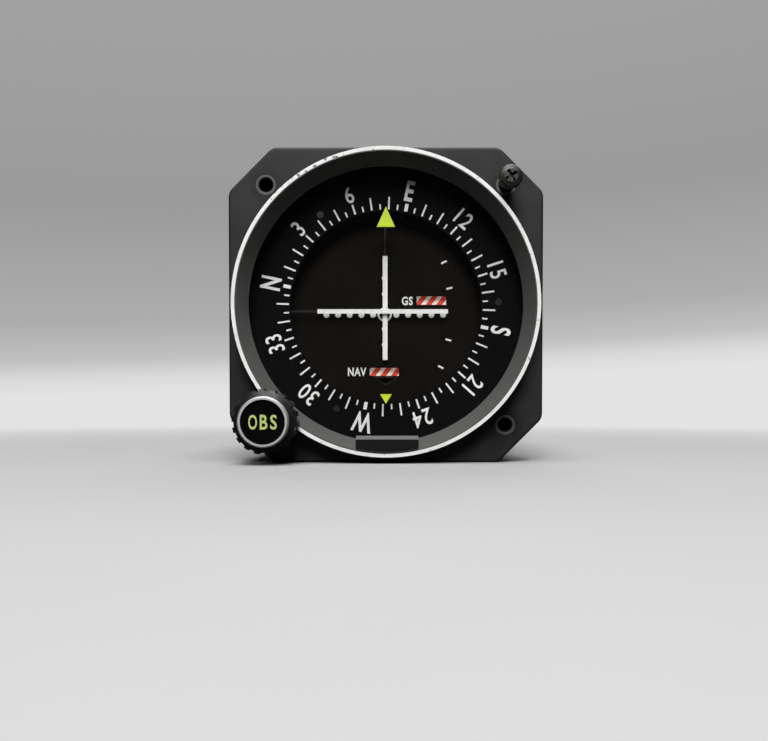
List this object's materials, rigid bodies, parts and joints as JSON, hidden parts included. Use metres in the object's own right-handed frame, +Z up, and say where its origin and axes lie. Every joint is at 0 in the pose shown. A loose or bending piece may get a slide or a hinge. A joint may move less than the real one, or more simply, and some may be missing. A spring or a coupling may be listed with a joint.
{
  "type": "course deviation indicator",
  "caption": "Round-dial aircraft course deviation indicator with rotating compass card, crossed needles, warning flags and a toothed selector knob on a square flange.",
  "frame": {"origin": "centre of the dial on the front face of the mounting flange", "axes": "+X to the viewer's right, +Y into the panel, +Z up"},
  "size_m": [0.0826, 0.1237, 0.0826],
  "materials": {
    "black_enamel": "satin",
    "collar_paint": "satin",
    "grey_paint": "satin",
    "glass": "polished",
    "lime_paint": "matte",
    "rubber": "matte",
    "spring_steel": "brushed",
    "card_black": "matte",
    "mask_black": "matte",
    "aluminium": "machined",
    "needle_white": "painted",
    "flag_red": "painted",
    "vane_white": "painted",
    "brass": "machined",
    "steel": "satin",
    "magnet": "matte",
    "copper_coil": "enamelled",
    "knob_plastic": "matte",
    "bright_metal": "polished",
    "black_steel": "black oxide",
    "motor_can": "satin",
    "resolver_can": "satin",
    "board_green": "gloss",
    "component_black": "matte",
    "insulator": "matte",
    "gold_pins": "plated"
  },
  "bodies": {
    "housing": {"mounting_flange": "black_enamel", "mounting_inserts": "brass", "bezel_ring": "collar_paint", "cover_glass": "glass", "course_pointers": "lime_paint", "glass_gasket": "rubber", "glass_retainer": "spring_steel", "front_frame": "black_enamel", "frame_screws": "steel", "meter_plate": "aluminium", "dial_mask": "mask_black", "mask_posts": "aluminium", "obs_bushing": "brass", "resolver": "resolver_can", "resolver_clamps": "steel", "resolver_bracket": "black_enamel", "front_posts": "aluminium", "rear_posts": "aluminium", "dust_cover": "grey_paint", "rear_plate": "grey_paint", "rear_screws": "steel", "rear_connector": "steel", "connector_insert": "insulator", "connector_pins": "gold_pins", "mounting_screw": "black_steel", "nav_meter_yoke": "steel", "nav_meter_core": "magnet", "nav_meter_bridge": "brass", "nav_hairspring": "spring_steel", "gs_meter_yoke": "steel", "gs_meter_core": "magnet", "gs_meter_bridge": "brass", "gs_hairspring": "spring_steel", "nav_flag_motor": "motor_can", "gs_flag_motor": "motor_can", "to_from_motor": "motor_can", "meter_board": "board_green", "meter_board_components": "component_black", "connector_board": "board_green", "connector_board_components": "component_black"},
    "card": {"compass_card": "card_black", "card_gear": "aluminium", "card_rivets": "card_black"},
    "selector": {"obs_shaft": "steel", "obs_knob_grip": "knob_plastic", "obs_set_screw": "black_steel", "obs_knob_ring": "bright_metal", "obs_knob_cap": "knob_plastic", "front_pinion": "brass", "rear_pinion": "brass", "shaft_rings": "spring_steel"},
    "resolver_rotor": {"resolver_gear": "brass", "resolver_shaft": "steel"},
    "nav_needle_group": {"nav_needle": "needle_white", "nav_meter_coil": "copper_coil"},
    "gs_needle_group": {"gs_needle": "needle_white", "gs_meter_coil": "copper_coil"},
    "nav_flag_group": {"nav_flag": "flag_red"},
    "gs_flag_group": {"gs_flag": "flag_red"},
    "to_from_group": {"to_from_vane": "vane_white"}
  },
  "joints": [
    {"name": "card_turn", "type": "hinge", "parent": "housing", "child": "card", "pos_m": [0, 0.005, 0], "axis": [0, -1, 0], "continuous": true},
    {"name": "obs_knob_turn", "type": "hinge", "parent": "housing", "child": "selector", "pos_m": [-0.03041, 0, -0.03041], "axis": [0, -1, 0], "continuous": true},
    {"name": "resolver_turn", "type": "hinge", "parent": "housing", "child": "resolver_rotor", "pos_m": [-0.01216, 0.028, -0.01216], "axis": [0, -1, 0], "continuous": true},
    {"name": "nav_needle_swing", "type": "hinge", "parent": "housing", "child": "nav_needle_group", "pos_m": [-0.0002, 0.0074, 0.03], "axis": [0, -1, 0], "range_deg": [-27, 27], "stiffness_Nm_per_rad": 0.0003},
    {"name": "gs_needle_swing", "type": "hinge", "parent": "housing", "child": "gs_needle_group", "pos_m": [-0.0305, 0.0065, -0.00085], "axis": [0, -1, 0], "range_deg": [-17, 17], "stiffness_Nm_per_rad": 0.0003},
    {"name": "nav_flag_swing", "type": "hinge", "parent": "housing", "child": "nav_flag_group", "pos_m": [0.015, 0.01, -0.018], "axis": [0, 1, 0], "range_deg": [0, 18], "stiffness_Nm_per_rad": 0.0003},
    {"name": "gs_flag_swing", "type": "hinge", "parent": "housing", "child": "gs_flag_group", "pos_m": [-0.003, 0.01, 0.0024], "axis": [0, -1, 0], "range_deg": [0, 18], "stiffness_Nm_per_rad": 0.0003},
    {"name": "to_from_swing", "type": "hinge", "parent": "housing", "child": "to_from_group", "pos_m": [-0.015, 0.0108, -0.02], "axis": [0, -1, 0], "range_deg": [-12, 15], "stiffness_Nm_per_rad": 0.0003}
  ],
  "couplings": [
    {"joint": "obs_knob_turn", "follows": "card_turn", "ratio": -6.8182},
    {"joint": "resolver_turn", "follows": "card_turn", "ratio": 1}
  ]
}
